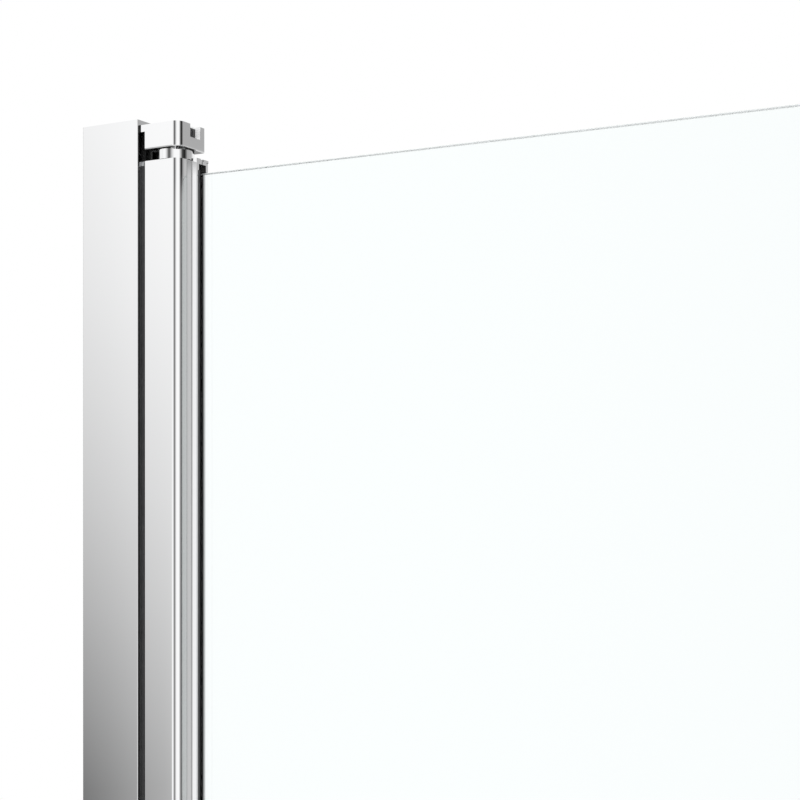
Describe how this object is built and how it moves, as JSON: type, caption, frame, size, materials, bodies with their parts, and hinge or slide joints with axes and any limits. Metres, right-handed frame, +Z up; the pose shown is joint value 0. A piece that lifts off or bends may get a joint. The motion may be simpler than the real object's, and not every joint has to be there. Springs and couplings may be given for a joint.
{
  "type": "pivot shower door",
  "caption": "Frameless glass shower door on a chrome hinge post that pivots in brackets fixed to an adjustable wall channel, with drip and magnetic seals and a through handle.",
  "frame": {"origin": "on the wall plane, at the foot of the wall channel, at the middle of its depth, level with the pivot axis", "axes": "+X from the wall along the closed door to its free edge, +Y from the room into the shower, +Z up"},
  "size_m": [0.785, 0.092, 1.85],
  "materials": {
    "chromed_profile": "bright polished and chrome-plated extruded aluminium",
    "chromed_cap": "chrome-plated moulded plastic",
    "chromed_casting": "chrome-plated zinc die casting, mirror bright",
    "chromed_spigot": "chrome-plated turned brass, mirror bright",
    "chromed_handle": "chrome-plated brass bar, mirror bright",
    "steel_screw": "plain stainless steel",
    "dark_steel": "black oxide steel",
    "grey_plastic": "moulded light grey plastic",
    "nylon": "natural nylon",
    "dark_seal": "extruded dark grey soft plastic, satin",
    "dark_gasket": "extruded black glazing gasket, satin",
    "clear_seal": "clear flexible plastic extrusion",
    "clear_washer": "clear soft plastic",
    "magnet_strip": "flexible magnet strip, matt brown-black",
    "clear_glass": "clear toughened glass with ground edges"
  },
  "bodies": {
    "wall_frame": {"wall_channel": "chromed_profile", "wall_channel_top_cap": "chromed_cap"},
    "pivot_frame": {"adjusting_profile": "chromed_profile", "adjusting_screws": "steel_screw", "screw_cap_bases": "grey_plastic", "screw_caps": "chromed_cap", "gap_seal": "dark_seal", "gap_seal_stops": "grey_plastic", "top_pivot_bracket": "chromed_casting", "bottom_pivot_bracket": "chromed_casting", "bracket_screws": "steel_screw", "top_pivot_spigot": "chromed_spigot", "bottom_pivot_spigot": "chromed_spigot", "spigot_set_screws": "dark_steel", "thrust_washer": "nylon"},
    "door": {"hinge_post": "chromed_profile", "post_top_plug": "nylon", "post_bottom_plug": "nylon", "plug_screws": "steel_screw", "clamp_top_cap": "chromed_cap", "clamp_bottom_cap": "chromed_cap", "front_glazing_gasket": "dark_gasket", "rear_glazing_gasket": "dark_gasket", "glass_packers": "nylon", "glass_pane": "clear_glass", "drip_seal": "clear_seal", "edge_seal": "clear_seal", "edge_magnet": "magnet_strip", "outer_handle": "chromed_handle", "inner_handle": "chromed_handle", "handle_studs": "steel_screw", "handle_sleeves": "nylon", "handle_washers": "clear_washer", "handle_grub_screws": "dark_steel"}
  },
  "joints": [
    {"name": "width_adjustment", "type": "slide", "parent": "wall_frame", "child": "pivot_frame", "axis": [1, 0, 0], "range_m": [0, 0.015]},
    {"name": "door_swing", "type": "hinge", "parent": "pivot_frame", "child": "door", "pos_m": [0.059, 0, 0.925], "axis": [0, 0, 1], "range_deg": [-90, 90]}
  ]
}
